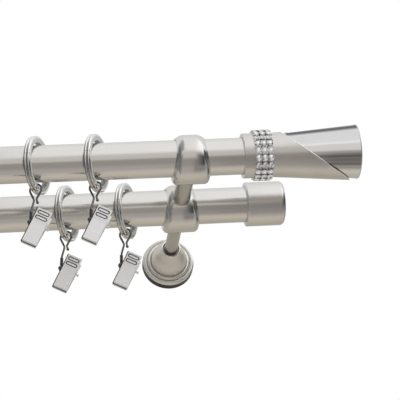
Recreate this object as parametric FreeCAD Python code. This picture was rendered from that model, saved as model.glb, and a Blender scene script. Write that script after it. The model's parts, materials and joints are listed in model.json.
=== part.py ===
import FreeCAD, Part
import math
import os

# A double curtain pole: two steel tubes side by side on two double wall brackets.
# The front tube ends in flared finials with three chains of crystals, the back tube in plain caps.
# Four rings with spring clips run on the tubes.
# X runs along the tubes, the wall is the plane Y = 0, the room is on the -Y side and Z is up.
# The origin is on the wall, midway between the brackets, at the height of the tubes.

os.makedirs("parts", exist_ok=True)

V = FreeCAD.Vector
X_AXIS = V(1, 0, 0)
Y_AXIS = V(0, 1, 0)
Z_AXIS = V(0, 0, 1)

# Tubes
pole_length = 1200.0
pole_diameter = 25.0
pole_wall = 1.0
back_reach = 92.0
front_reach = 162.0

# Bracket
finial_gap = 35.6
eye_width = 25.0
eye_radius = 16.8
eye_shift = 2.2
eye_turn = 66.0
eye_top_round = 9.0
eye_foot_round = 3.4
eye_play = 0.3
front_arm_diameter = 12.0
back_arm_diameter = 9.5
arm_stud_diameter = 6.0
stud_play = 0.1
stud_in_eye = 3.2
stud_short = 0.4

# Wall fixing
plate_radius = 16.5
plate_thickness = 3.5
plate_shoulder_radius = 14.9
plate_shoulder = 2.0
boss_radius = 7.0
boss_height = 17.0
stud_in_boss = 10.0
screw_spacing = 23.0
screw_hole = 4.5
backing_radius = 18.95
backing_depth = 4.8
backing_lip = 0.9
backing_lip_wall = 0.7
rose_radius = 18.7
rose_wall = 1.2
rose_edge = 5.9
rose_bead = 1.5
rose_step_radius = 15.6
rose_step = 0.8
rose_dome_radius = 12.8
rose_dome_foot = 8.0
rose_waist = 20.0
rose_waist_radius = 10.2
rose_height = 28.0
rose_hole = 12.2
rose_rim = 0.9
fit_play = 0.1

# Finial
finial_seat = 28.0
finial_play = 0.15
collar_radius = 15.2
collar_length = 6.6
stone_rows = 3
stones_round = 20
stone_pitch = 4.2
stone_width = 3.9
stone_table = 2.3
stone_girdle = 0.6
stone_crown = 0.9
setting_bore = 14.65
setting_flat = 15.75
prong_size = 0.8
prong_height = 1.0
sleeve_start_radius = 14.9
sleeve_end_radius = 19.15
sleeve_length = 54.0
sleeve_wall = 0.9
cut_middle = 47.3
cut_slope = 1.35
cut_turn = 34.0
stop_radius = 11.4
stop_width = 1.5
cone_flange = 2.0
cone_start_radius = 14.6
cone_end_radius = 18.35
cone_overhang = 5.6
cone_wall = 1.2
cone_recess = 2.5

# End cap
cap_seat = 17.2
cap_radius = 15.6
cap_length = 27.2
cap_end_round = 3.0
cap_mouth_round = 0.8
cap_relief_radius = 11.0
cap_end_wall = 2.6

# Grub screws
grub_diameter = 4.0
grub_play = 0.1
grub_socket = 2.0
grub_socket_depth = 1.5
end_grub_length = 2.6
grub_recess = 0.3
finial_grub_place = 24.0
cap_grub_place = 8.5
end_grub_turn = -45.0

# Rings
front_ring_offsets = (-102.6, -63.0)
back_ring_offsets = (-79.2, -37.8)
ring_drop = 1.2
ring_yaw = 24.0
ring_tilt = 8.0
ring_radius = 19.8
ring_width = 4.2
ring_side_radius = 18.9
ring_groove = 0.55
ring_groove_width = 0.4
ring_seam = 0.15
liner_width = 3.9
liner_outer_radius = 17.8
liner_bore_radius = 14.8

# Hook
wire_diameter = 1.4
loop_radius = 4.0
hook_play = 0.25
loop_open_end = -35.0
loop_stem_end = 200.0
free_leg_run = 5.5
free_leg_end = V(0.6, 0, -9.8)
stem_leg_run = 6.5
stem_knee = V(-3.9, 0, -15.0)
free_bend = 2.0
stem_bend = 4.0
knee_bend = 6.0
ball_diameter = 2.0

# Clip
clip_width = 10.4
clip_sheet = 0.7
lever_length = 10.4
jaw_length = 15.6
lever_spread = 3.9
pivot_spread = 2.0
lip_spread = 0.2
lip_height = 1.4
clip_lean = 29.0
clip_place = V(-0.1, 0, -26.9)
slot_length = 7.8
slot_width = 2.0
slot_places = (7.9, 4.3)
clip_pin_diameter = 1.4
pin_running_play = 0.05
pin_head_diameter = 2.4
pin_head = 0.4
ear_radius = 1.5
ear_sheet = 0.6
ear_play = 0.15
spring_wire = 0.7
spring_turns = 5
spring_leg = 6.0
spring_seat_play = 0.08

# Sizes that follow from the ones above
pole_radius = pole_diameter / 2
pole_end = pole_length / 2
collar_edge = pole_end - finial_seat
bracket_x = collar_edge - finial_gap
cap_edge = pole_end - cap_seat
eye_bore = pole_radius + eye_play
arm_stud_radius = arm_stud_diameter / 2
band_length = stone_rows * stone_pitch
sleeve_start = collar_length + band_length
sleeve_end = sleeve_start + sleeve_length
cone_end = sleeve_end + cone_overhang
wire_radius = wire_diameter / 2
pin_radius = clip_pin_diameter / 2
loop_drop = liner_bore_radius - hook_play + loop_radius - wire_radius
crown_radius = loop_radius - wire_radius - hook_play
eye_wire_place = clip_width / 2 + ear_play + wire_radius


def save(shape, name):
    """Write one piece, or one group of like pieces, as a STEP file."""
    shape.exportStep("parts/" + name + ".step")


def cylinder(radius, start, end):
    """A round bar from one point to another."""
    run = end - start
    return Part.makeCylinder(radius, run.Length, start, run)


def chain(points):
    """A wire from a list of points, in which a tuple (through, end) is an arc."""
    edges = []
    last = points[0]
    for item in points[1:]:
        if isinstance(item, tuple):
            edges.append(Part.Arc(last, item[0], item[1]).toShape())
            last = item[1]
        else:
            edges.append(Part.makeLine(last, item))
            last = item
    edges.append(Part.makeLine(last, points[0]))
    return Part.Wire(edges)


def turned(points, axis):
    """A solid turned about an axis through the origin, from a closed outline."""
    return Part.Face(chain(points)).revolve(V(0, 0, 0), axis, 360)


def both_ends(shape):
    """The shape at the right end and its mirror image at the left end."""
    return {"right": shape, "left": shape.mirror(V(0, 0, 0), X_AXIS)}


def save_both(shape, name):
    for end, piece in both_ends(shape).items():
        save(piece, name + "_" + end)


def grub_screw(length):
    """A headless screw with a hexagon socket, standing on the origin along +Z."""
    body = Part.makeCylinder(grub_diameter / 2, length)
    corner = grub_socket / 2 / math.cos(math.radians(30))
    corners = [
        V(corner * math.cos(math.radians(60 * i)), corner * math.sin(math.radians(60 * i)), 0)
        for i in range(6)
    ]
    hexagon = Part.Face(Part.makePolygon(corners + corners[:1]))
    socket = hexagon.extrude(V(0, 0, grub_socket_depth))
    socket.translate(V(0, 0, length - grub_socket_depth))
    return body.cut(socket)


def screw_hole_along(place, turn):
    """The clearance bore for a grub screw that points at the tube, turned about X."""
    bore = Part.makeCylinder(grub_diameter / 2 + grub_play, 2 * pole_radius, V(0, 0, pole_radius - 2))
    bore.rotate(V(0, 0, 0), X_AXIS, turn)
    bore.translate(V(place, 0, 0))
    return bore


def placed_grub(length, place, turn, reach):
    """A grub screw whose tip stands on the tube at a distance along X."""
    screw = grub_screw(length)
    screw.translate(V(0, 0, pole_radius))
    screw.rotate(V(0, 0, 0), X_AXIS, turn)
    screw.translate(V(place, -reach, 0))
    return screw


# Tubes
def make_pole():
    outer = Part.makeCylinder(pole_radius, pole_length, V(-pole_length / 2, 0, 0), X_AXIS)
    inner = Part.makeCylinder(pole_radius - pole_wall, pole_length, V(-pole_length / 2, 0, 0), X_AXIS)
    return outer.cut(inner)


# Bracket: rounded eyes on two arms, each a little out of centre towards the wall
def eye_blank():
    """A short drum whose edges are rounded more at the top than at the foot, before it is bored."""
    half = eye_width / 2
    turn = math.radians(eye_turn)
    up = V(0, -math.cos(turn), math.sin(turn)) * eye_radius
    side = V(0, math.sin(turn), math.cos(turn)) * eye_radius
    centre = V(-half, eye_shift, 0)
    top = centre + up
    foot = centre - up
    round_face = Part.Wire([
        Part.Arc(top, centre + side, foot).toShape(),
        Part.Arc(foot, centre - side, top).toShape(),
    ])
    drum = Part.Face(round_face).extrude(V(eye_width, 0, 0))
    rims = []
    for edge in drum.Edges:
        first = edge.valueAt(edge.FirstParameter)
        if edge.BoundBox.XLength < 0.01 and (first - V(first.x, top.y, top.z)).Length < 0.1:
            rims.append(edge)
    return drum.makeFillet(eye_top_round, eye_foot_round, rims)


def make_eye(stud_sides):
    """An eye with its tube bore, its screw hole on top and its stud holes in front or behind."""
    eye = eye_blank()
    eye = eye.cut(Part.makeCylinder(eye_bore, 2 * eye_width, V(-eye_width, 0, 0), X_AXIS))
    eye = eye.cut(screw_hole_along(0, 0))
    for side in stud_sides:
        eye = eye.cut(cylinder(arm_stud_radius + stud_play, V(0, 0, 0), V(0, side * 2 * eye_radius, 0)))
    return eye


def make_front_arm():
    """The thick arm between the eyes, hollowed at its ends to sit on them."""
    start = V(0, -front_reach, 0)
    end = V(0, -back_reach, 0)
    arm = cylinder(front_arm_diameter / 2, start, end)
    for reach in (front_reach, back_reach):
        eye = eye_blank()
        eye.translate(V(0, -reach, 0))
        arm = arm.cut(eye)
    stud_start = V(0, -front_reach + eye_shift + eye_radius - stud_in_eye, 0)
    stud_end = V(0, -back_reach - eye_bore - stud_short, 0)
    return arm.fuse(cylinder(arm_stud_radius, stud_start, stud_end)).removeSplitter()


def make_back_arm():
    """The thin arm from the back eye to the wall plate's boss, with a stud at each end."""
    arm = cylinder(back_arm_diameter / 2, V(0, -back_reach, 0), V(0, -boss_height, 0))
    eye = eye_blank()
    eye.translate(V(0, -back_reach, 0))
    arm = arm.cut(eye)
    stud_start = V(0, -back_reach + eye_shift + eye_radius - stud_in_eye, 0)
    stud_end = V(0, -boss_height + stud_in_boss, 0)
    return arm.fuse(cylinder(arm_stud_radius, stud_start, stud_end)).removeSplitter()


# Wall fixing: everything is turned about Y, with its back on the wall
def make_wall_plate():
    outline = [
        V(0, 0, 0),
        V(0, 0, plate_shoulder_radius),
        V(0, -plate_shoulder, plate_shoulder_radius),
        V(0, -plate_shoulder, plate_radius),
        V(0, -plate_thickness, plate_radius),
        V(0, -plate_thickness, boss_radius),
        V(0, -boss_height, boss_radius),
        V(0, -boss_height, 0),
    ]
    plate = turned(outline, Y_AXIS)
    stud_bore = cylinder(arm_stud_radius + stud_play, V(0, -boss_height, 0), V(0, stud_in_boss - boss_height, 0))
    plate = plate.cut(stud_bore)
    for side in (-1, 1):
        height = side * screw_spacing / 2
        plate = plate.cut(cylinder(screw_hole / 2, V(0, -boss_height, height), V(0, boss_height, height)))
    return plate


def make_backing_ring():
    shoulder = plate_shoulder_radius + fit_play
    inside = plate_radius + fit_play
    lip = rose_radius - rose_wall - fit_play
    outline = [
        V(0, 0, shoulder),
        V(0, 0, backing_radius),
        V(0, -backing_depth, backing_radius),
        V(0, -backing_depth, lip),
        V(0, -backing_depth - backing_lip, lip),
        V(0, -backing_depth - backing_lip, lip - backing_lip_wall),
        V(0, -plate_thickness, inside),
        V(0, -plate_shoulder, inside),
        V(0, -plate_shoulder, shoulder),
    ]
    return turned(outline, Y_AXIS)


def make_rose():
    """The cover: a low skirt, two rounded steps and a bell with a bright rim round the arm."""
    hole = rose_hole / 2
    skirt = rose_radius - rose_wall
    inside = backing_depth + backing_lip
    groove = rose_edge + rose_step
    shoulder = (rose_dome_foot + rose_waist) / 2 + 0.8
    throat = (rose_waist + rose_height) / 2
    outline = [
        V(0, -backing_depth, skirt),
        V(0, -backing_depth, rose_radius),
        V(0, -rose_edge, rose_radius),
        (V(0, -rose_edge - rose_bead, rose_radius - rose_wall), V(0, -groove, rose_step_radius)),
        (V(0, -rose_dome_foot - 0.7, rose_step_radius - rose_wall), V(0, -rose_dome_foot, rose_dome_radius)),
        (V(0, -shoulder, rose_dome_radius - 0.55), V(0, -rose_waist, rose_waist_radius)),
        (V(0, -throat + 0.2, rose_waist_radius - 2.1), V(0, -rose_height + rose_rim, hole + rose_rim)),
        V(0, -rose_height, hole + rose_rim / 2),
        V(0, -rose_height, hole),
        V(0, -rose_height + 2 * rose_wall, hole),
        (V(0, -throat + 1.2, rose_waist_radius - 2.8), V(0, -rose_waist + 0.6, rose_waist_radius - rose_wall)),
        (V(0, -shoulder + 0.2, rose_dome_radius - rose_wall - 0.6), V(0, -rose_dome_foot, rose_dome_radius - rose_wall)),
        V(0, -inside, rose_dome_radius - rose_wall),
        V(0, -inside, skirt),
    ]
    return turned(outline, Y_AXIS)


# Finial, measured along X from the collar's edge
def sleeve_radius(place):
    share = (place - sleeve_start) / sleeve_length
    return sleeve_start_radius + share * (sleeve_end_radius - sleeve_start_radius)


def make_sleeve():
    """Collar, seat for the crystal band and flared sleeve, cut obliquely like a wrapped sheet."""
    bore = pole_radius + finial_play
    stop = finial_seat + stop_width
    band_seat = setting_bore - fit_play / 2
    outline = [
        V(0, 0, bore),
        V(0, 0, collar_radius),
        V(collar_length, 0, collar_radius),
        V(collar_length, 0, band_seat),
        V(sleeve_start, 0, band_seat),
        V(sleeve_start, 0, sleeve_start_radius),
        V(sleeve_end, 0, sleeve_end_radius),
        V(sleeve_end, 0, sleeve_end_radius - sleeve_wall),
        V(stop, 0, sleeve_radius(stop) - sleeve_wall),
        V(stop, 0, stop_radius),
        V(finial_seat, 0, stop_radius),
        V(finial_seat, 0, bore),
    ]
    sleeve = turned(outline, X_AXIS)
    size = 2 * sleeve_length
    far = Part.makeBox(size, 2 * size, 2 * size, V(0, -size, -size))
    far.rotate(V(0, 0, 0), Y_AXIS, -math.degrees(math.atan(cut_slope)))
    far.rotate(V(0, 0, 0), X_AXIS, cut_turn)
    far.translate(V(cut_middle, 0, 0))
    return sleeve.cut(far).cut(screw_hole_along(finial_grub_place, end_grub_turn))


def make_cone():
    """The polished inner cone with a flange that sits on the sleeve's stop and a recessed end."""
    start = finial_seat + stop_width
    root = start + cone_flange
    flange = sleeve_radius(start) - sleeve_wall - fit_play
    slope = (cone_end_radius - cone_start_radius) / (cone_end - root)
    inner_end = cone_end - cone_recess - cone_wall
    outline = [
        V(start, 0, cone_start_radius - cone_wall),
        V(start, 0, flange),
        V(root, 0, flange),
        V(root, 0, cone_start_radius),
        V(cone_end, 0, cone_end_radius),
        V(cone_end, 0, cone_end_radius - cone_wall),
        V(cone_end - cone_recess, 0, cone_end_radius - cone_wall - cone_recess * slope),
        V(cone_end - cone_recess, 0, 0),
        V(inner_end, 0, 0),
        V(inner_end, 0, cone_start_radius - cone_wall + slope * (inner_end - root)),
        V(root, 0, cone_start_radius - cone_wall),
    ]
    return turned(outline, X_AXIS)


def round_the_band(shape, row, step):
    """A copy of a piece that stands along +Z, moved to its place in the crystal band."""
    piece = shape.copy()
    piece.translate(V(row, 0, 0))
    piece.rotate(V(0, 0, 0), X_AXIS, step * 360 / stones_round)
    return piece


def make_setting():
    """The cup chain: a many-sided band with a flat for each stone and prongs between them."""
    half_turn = math.pi / stones_round
    corner = setting_flat / math.cos(half_turn)
    corners = [
        V(0, corner * math.sin(half_turn * (2 * i + 1)), corner * math.cos(half_turn * (2 * i + 1)))
        for i in range(stones_round)
    ]
    band = Part.Face(Part.makePolygon(corners + corners[:1])).extrude(V(band_length, 0, 0))
    band = band.cut(Part.makeCylinder(setting_bore, band_length, V(0, 0, 0), X_AXIS))
    prongs = []
    for row in range(stone_rows + 1):
        place = min(max(row * stone_pitch, prong_size / 2), band_length - prong_size / 2)
        low = corner - prong_height / 2
        prong = Part.makeBox(prong_size, prong_size, 1.5 * prong_height, V(-prong_size / 2, -prong_size / 2, low))
        for step in range(stones_round):
            prongs.append(round_the_band(prong, place, step + 0.5))
    setting = band.fuse(prongs)
    setting.translate(V(collar_length, 0, 0))
    return setting


def make_stone():
    """One eight-sided crystal, standing on its flat along +Z."""
    def octagon(width, height):
        corner = width / 2 / math.cos(math.pi / 8)
        angles = [math.pi / 8 + i * math.pi / 4 for i in range(8)]
        points = [V(corner * math.cos(t), corner * math.sin(t), height) for t in angles]
        return Part.makePolygon(points + points[:1])

    girdle = setting_flat + stone_girdle
    top = girdle + stone_crown
    lower = Part.makeLoft([octagon(stone_width, setting_flat), octagon(stone_width, girdle)], True, True)
    upper = Part.makeLoft([octagon(stone_width, girdle), octagon(stone_table, top)], True, True)
    return lower.fuse(upper)


def make_crystals():
    stone = make_stone()
    stones = []
    for row in range(stone_rows):
        for step in range(stones_round):
            stones.append(round_the_band(stone, collar_length + (row + 0.5) * stone_pitch, step))
    return Part.makeCompound(stones)


# End cap, measured along X from its open edge
def make_cap():
    bore = pole_radius + finial_play
    outline = [
        V(0, 0, bore),
        V(0, 0, cap_radius),
        V(cap_length, 0, cap_radius),
        V(cap_length, 0, 0),
        V(cap_length - cap_end_wall, 0, 0),
        V(cap_length - cap_end_wall, 0, cap_relief_radius),
        V(cap_seat, 0, cap_relief_radius),
        V(cap_seat, 0, bore),
    ]
    cap = turned(outline, X_AXIS)

    def rim_at(place):
        return [
            edge
            for edge in cap.Edges
            if isinstance(edge.Curve, Part.Circle) and abs(edge.Curve.Radius - cap_radius) < 0.01
            and abs(edge.Curve.Center.x - place) < 0.01
        ]

    cap = cap.makeFillet(cap_end_round, rim_at(cap_length))
    cap = cap.makeFillet(cap_mouth_round, rim_at(0))
    return cap.cut(screw_hole_along(cap_grub_place, end_grub_turn))


# Rings, each about its own centre with its axis along X
def make_ring_shell():
    """The metal band: two rounded beads round the outside with a groove between them."""
    half = ring_width / 2
    bead = half / 2 + ring_groove_width / 4
    low = ring_radius - ring_groove
    edge = ring_groove_width / 2
    outline = [
        V(-half, 0, liner_outer_radius),
        V(-half, 0, ring_side_radius),
        (V(-bead, 0, ring_radius), V(-edge, 0, low)),
        V(edge, 0, low),
        (V(bead, 0, ring_radius), V(half, 0, ring_side_radius)),
        V(half, 0, liner_outer_radius),
    ]
    shell = turned(outline, X_AXIS)
    seam = Part.makeBox(
        2 * ring_width, ring_radius, ring_seam, V(-ring_width, -ring_radius - 1, -ring_seam / 2)
    )
    return shell.cut(seam.common(Part.makeBox(50, 10, 10, V(-25, -ring_radius - 5, -5))))


def make_ring_liner():
    """The plastic liner, crowned inside so that the hook rocks on it."""
    half = liner_width / 2
    edge = loop_drop - math.sqrt(crown_radius ** 2 - half ** 2)
    outline = [
        V(-half, 0, liner_outer_radius),
        V(-half, 0, edge),
        (V(0, 0, liner_bore_radius), V(half, 0, edge)),
        V(half, 0, liner_outer_radius),
    ]
    return turned(outline, X_AXIS)


# Hook: wire bent round the ring at its bottom, about the loop's own centre
def bent_path(points, bends):
    """Straight runs joined by tangent arcs: each corner between the ends has its own bend."""
    edges = []
    last = points[0]
    for before, corner, after, bend in zip(points, points[1:], points[2:], bends):
        back = (before - corner).normalize()
        onward = (after - corner).normalize()
        half = back.getAngle(onward) / 2
        middle = (back + onward).normalize()
        reach = bend / math.tan(half)
        start = corner + back * reach
        end = corner + onward * reach
        through = corner + middle * (bend / math.sin(half) - bend)
        edges.append(Part.makeLine(last, start))
        edges.append(Part.Arc(start, through, end).toShape())
        last = end
    edges.append(Part.makeLine(last, points[-1]))
    return edges


def in_ring_plane(across, height):
    """A point of the loop's upright plane, which is square to the ring's band at its bottom."""
    yaw = math.radians(ring_yaw)
    return V(across * math.cos(yaw), -across * math.sin(yaw), height)


def ring_foot():
    """The loop's centre at the bottom of a leaning ring, seen from the ring's centre."""
    tilt = math.radians(ring_tilt)
    return in_ring_plane(-loop_drop * math.sin(tilt), -loop_drop * math.cos(tilt))


def loop_point(angle):
    turn = math.radians(angle)
    return in_ring_plane(loop_radius * math.cos(turn), loop_radius * math.sin(turn))


def loop_run(angle, side, run):
    """The point that a straight leg reaches when it leaves the loop along its tangent."""
    turn = math.radians(angle)
    return loop_point(angle) + in_ring_plane(-side * run * math.sin(turn), side * run * math.cos(turn))


def clip_point(across, depth, along):
    """A point of the clip's own frame, seen from the loop's centre."""
    lean = math.radians(clip_lean)
    return clip_place + V(
        across * math.cos(lean) + along * math.sin(lean),
        depth,
        along * math.cos(lean) - across * math.sin(lean),
    )


def make_hook():
    eye_bend = pin_radius + pin_running_play + wire_radius
    free_end = in_ring_plane(free_leg_end.x, free_leg_end.z)
    free_corner = loop_run(loop_open_end, -1, free_leg_run)
    stem_corner = loop_run(loop_stem_end, 1, stem_leg_run)
    eye_top = clip_point(-eye_wire_place, 0, eye_bend)
    edges = bent_path([free_end, free_corner, loop_point(loop_open_end)], [free_bend])
    middle = loop_point((loop_open_end + loop_stem_end) / 2)
    edges.append(Part.Arc(loop_point(loop_open_end), middle, loop_point(loop_stem_end)).toShape())
    stem = [loop_point(loop_stem_end), stem_corner, stem_knee, eye_top]
    edges += bent_path(stem, [stem_bend, knee_bend])
    path = Part.Wire(edges)
    section = Part.Wire(Part.makeCircle(wire_radius, free_end, free_corner - free_end))
    wire = path.makePipeShell([section], True, False)
    ball = Part.makeSphere(ball_diameter / 2, free_end)
    pin_line = clip_point(1, 0, 0) - clip_point(0, 0, 0)
    eye = Part.makeTorus(eye_bend, wire_radius, clip_point(-eye_wire_place, 0, 0), pin_line)
    return wire.fuse([ball, eye])


# Clip, about its pin: X across, Y in depth, Z up to the levers
def plate_side(side):
    """Side view of one clip plate: lever, pivot and jaw with an inturned lip."""
    sheet = clip_sheet
    inside = [
        V(0, side * lever_spread, lever_length),
        V(0, side * pivot_spread, 0),
        V(0, side * (lip_spread + sheet), lip_height - jaw_length),
        V(0, side * lip_spread, -jaw_length + lip_height / 2),
        V(0, side * lip_spread, -jaw_length),
    ]
    outside = [
        V(0, side * (lip_spread + sheet), -jaw_length),
        V(0, side * (lip_spread + 2 * sheet), lip_height - jaw_length),
        V(0, side * (pivot_spread + sheet), 0),
        V(0, side * (lever_spread + sheet), lever_length),
    ]
    return Part.Face(Part.makePolygon(inside + outside + inside[:1]))


def make_plate(side, ear_outside):
    """A stamped clip plate with two slots in its lever and two ears on the pin."""
    plate = plate_side(side).extrude(V(clip_width, 0, 0))
    plate.translate(V(-clip_width / 2, 0, 0))
    for place in slot_places:
        reach = (slot_length - slot_width) / 2
        slot = Part.makeBox(2 * reach, 4 * lever_spread, slot_width, V(-reach, 0, place - slot_width / 2))
        for end in (-reach, reach):
            slot = slot.fuse(Part.makeCylinder(slot_width / 2, 4 * lever_spread, V(end, 0, place), Y_AXIS))
        if side < 0:
            slot = slot.mirror(V(0, 0, 0), Y_AXIS)
        plate = plate.cut(slot)
    bore = pin_radius + pin_running_play
    for ear_side in (-1, 1):
        low = ear_outside - ear_sheet if ear_side > 0 else -ear_outside
        ear = Part.makeCylinder(ear_radius, ear_sheet, V(low, 0, 0), X_AXIS)
        web_depth = pivot_spread + clip_sheet / 2
        start = min(0, side * web_depth)
        ear = ear.fuse(Part.makeBox(ear_sheet, web_depth, 2 * ear_radius, V(low, start, -ear_radius)))
        plate = plate.fuse(ear)
    return plate.cut(Part.makeCylinder(bore, 2 * clip_width, V(-clip_width, 0, 0), X_AXIS))


def make_pin():
    """The pin runs through the ears and the hook's eye, and is spread at both ends."""
    reach = eye_wire_place + wire_radius + ear_play
    pin = Part.makeCylinder(pin_radius, 2 * reach, V(-reach, 0, 0), X_AXIS)
    for start in (-reach - pin_head, reach):
        pin = pin.fuse(Part.makeCylinder(pin_head_diameter / 2, pin_head, V(start, 0, 0), X_AXIS))
    return pin


def make_spring():
    """The torsion spring: its turns as a ribbed barrel round the pin, with a leg under each lever."""
    bore = pin_radius + pin_running_play
    half = spring_turns * spring_wire / 2
    outline = [V(-half, 0, bore)]
    for turn in range(spring_turns):
        start = turn * spring_wire - half
        outline.append(V(start, 0, bore + spring_wire * 0.7))
        outline.append(V(start + spring_wire / 2, 0, bore + spring_wire))
    outline.append(V(half, 0, bore + spring_wire * 0.7))
    outline.append(V(half, 0, bore))
    spring = turned(outline, X_AXIS)
    slope = (lever_spread - pivot_spread) / lever_length
    for side in (-1, 1):
        inside = pivot_spread + slope * spring_leg - spring_wire / 2 - spring_seat_play
        place = side * (half - spring_wire / 2)
        foot = V(place, side * (bore + spring_wire / 2), 0)
        tip = V(place, side * inside, spring_leg)
        spring = spring.fuse(cylinder(spring_wire / 2, foot, tip))
    return spring


def hang(shape, centre):
    """Put a piece of the clip at its lean below the loop of a ring."""
    piece = shape.copy()
    piece.rotate(V(0, 0, 0), Y_AXIS, clip_lean)
    piece.translate(centre + clip_place)
    return piece


# Write the tubes
pole = make_pole()
for name, reach in (("front_pole", front_reach), ("back_pole", back_reach)):
    tube = pole.copy()
    tube.translate(V(0, -reach, 0))
    save(tube, name)

# Write what the two ends share
front_eye = make_eye([1])
front_eye.translate(V(bracket_x, -front_reach, 0))
save_both(front_eye, "front_holder")
back_eye = make_eye([-1, 1])
back_eye.translate(V(bracket_x, -back_reach, 0))
save_both(back_eye, "back_holder")

at_bracket = {
    "front_arm": make_front_arm(),
    "back_arm": make_back_arm(),
    "wall_plate": make_wall_plate(),
    "backing_ring": make_backing_ring(),
    "wall_rose": make_rose(),
}
for name, piece in at_bracket.items():
    piece.translate(V(bracket_x, 0, 0))
    save_both(piece, name)

at_collar = {
    "finial_sleeve": make_sleeve(),
    "finial_cone": make_cone(),
    "crystal_setting": make_setting(),
    "crystals": make_crystals(),
}
for name, piece in at_collar.items():
    piece.translate(V(collar_edge, -front_reach, 0))
    save_both(piece, name)

cap = make_cap()
cap.translate(V(cap_edge, -back_reach, 0))
save_both(cap, "end_cap")

eye_top = math.sqrt(eye_radius ** 2 - eye_shift ** 2)
eye_grub_length = eye_top - grub_recess - pole_radius
holder_screws = [placed_grub(eye_grub_length, bracket_x, 0, reach) for reach in (front_reach, back_reach)]
save_both(Part.makeCompound(holder_screws), "holder_screws")
end_screws = [
    placed_grub(end_grub_length, collar_edge + finial_grub_place, end_grub_turn, front_reach),
    placed_grub(end_grub_length, cap_edge + cap_grub_place, end_grub_turn, back_reach),
]
save_both(Part.makeCompound(end_screws), "end_screws")

# Write the rings with their hooks and clips
ring_shell = make_ring_shell()
ring_liner = make_ring_liner()
hook = make_hook()
clip_pieces = {
    "clip_back": make_plate(1, clip_width / 2),
    "clip_front": make_plate(-1, clip_width / 2 - ear_sheet - ear_play),
    "clip_pin": make_pin(),
    "clip_spring": make_spring(),
}
ring_places = [(offset, front_reach) for offset in front_ring_offsets]
ring_places += [(offset, back_reach) for offset in back_ring_offsets]
for number, (offset, reach) in enumerate(ring_places, start=1):
    centre = V(bracket_x + offset, -reach, -ring_drop)
    for name, piece in (("ring_shell", ring_shell), ("ring_liner", ring_liner)):
        band = piece.copy()
        band.rotate(V(0, 0, 0), Y_AXIS, ring_tilt)
        band.rotate(V(0, 0, 0), Z_AXIS, -ring_yaw)
        band.translate(centre)
        save(band, name + "_" + str(number))
    loop_centre = centre + ring_foot()
    wire_hook = hook.copy()
    wire_hook.translate(loop_centre)
    save(wire_hook, "hook_" + str(number))
    for name, piece in clip_pieces.items():
        save(hang(piece, loop_centre), name + "_" + str(number))
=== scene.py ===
import json
import math

import bmesh
import bpy
from mathutils import Matrix, Vector


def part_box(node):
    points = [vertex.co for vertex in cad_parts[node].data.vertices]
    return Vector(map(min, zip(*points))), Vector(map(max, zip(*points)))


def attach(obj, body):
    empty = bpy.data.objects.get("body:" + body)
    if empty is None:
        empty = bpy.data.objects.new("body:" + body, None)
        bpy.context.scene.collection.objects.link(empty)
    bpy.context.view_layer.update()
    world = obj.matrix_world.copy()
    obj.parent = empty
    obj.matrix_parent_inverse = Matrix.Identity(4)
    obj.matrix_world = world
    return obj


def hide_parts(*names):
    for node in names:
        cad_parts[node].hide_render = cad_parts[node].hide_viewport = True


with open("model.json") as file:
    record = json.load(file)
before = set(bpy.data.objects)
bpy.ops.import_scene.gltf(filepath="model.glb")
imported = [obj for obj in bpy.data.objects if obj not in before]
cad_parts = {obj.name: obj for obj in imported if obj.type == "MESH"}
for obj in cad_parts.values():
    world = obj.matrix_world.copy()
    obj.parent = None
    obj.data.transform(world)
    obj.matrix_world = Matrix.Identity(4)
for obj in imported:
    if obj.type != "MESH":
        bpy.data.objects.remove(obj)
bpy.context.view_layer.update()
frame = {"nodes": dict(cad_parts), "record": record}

# Camera
# It stands below the poles, a little to the left of the right bracket, and looks up at them
# with a long lens, as the photograph was taken.
look_right = math.radians(9.43)
look_up = math.radians(27.78)
camera_roll = math.radians(6.85)
camera_distance = 1.3
camera_target = Vector((0.53984, -0.1617, -0.03206))
focal_length_in_dots = 1954.7
picture_width_in_dots = 400
film_width = 36

level_ahead = Vector((math.sin(look_right), math.cos(look_right), 0))
ahead = level_ahead * math.cos(look_up) + Vector((0, 0, math.sin(look_up)))
level_right = Vector((math.cos(look_right), -math.sin(look_right), 0))
level_up = level_right.cross(ahead)
picture_right = level_right * math.cos(camera_roll) - level_up * math.sin(camera_roll)
picture_up = level_up * math.cos(camera_roll) + level_right * math.sin(camera_roll)

camera = bpy.data.objects.new("camera", bpy.data.cameras.new("camera"))
bpy.context.scene.collection.objects.link(camera)
camera.data.sensor_width = film_width
camera.data.lens = focal_length_in_dots / picture_width_in_dots * film_width
camera.data.clip_start = 0.05
camera.data.clip_end = 60
turned = Matrix((picture_right, picture_up, -ahead)).transposed().to_4x4()
camera.matrix_world = Matrix.Translation(camera_target - ahead * camera_distance) @ turned
bpy.context.scene.camera = camera
bpy.context.scene.view_settings.view_transform = "Standard"


# Studio
# A white room with a pale floor under the pole. Two soft lamps hang over the front, and grey
# and dark boards stand round the set for the metal to mirror. They are seen by nothing else.
def link_nodes(tree, *pairs):
    for source, target in pairs:
        tree.links.new(source, target)


def math_node(tree, operation, *values, kind="ShaderNodeMath"):
    """A math node with its inputs set in order, where None leaves one open for a link."""
    node = tree.nodes.new(kind)
    node.operation = operation
    for socket, value in zip(node.inputs, values):
        if value is not None:
            socket.default_value = value
    return node


def vector_node(tree, operation, *values):
    return math_node(tree, operation, *values, kind="ShaderNodeVectorMath")


def grey(level):
    """The same value three times, for a colour or for all axes."""
    return (level, level, level)


def fill_ramp(ramp, stops):
    """Gives a colour ramp its stops, each with its place and its colour."""
    marks = ramp.color_ramp.elements
    marks.remove(marks[1])
    for number, (place, colour) in enumerate(stops):
        mark = marks[0] if number == 0 else marks.new(place)
        mark.position = place
        mark.color = (*colour, 1)


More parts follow.
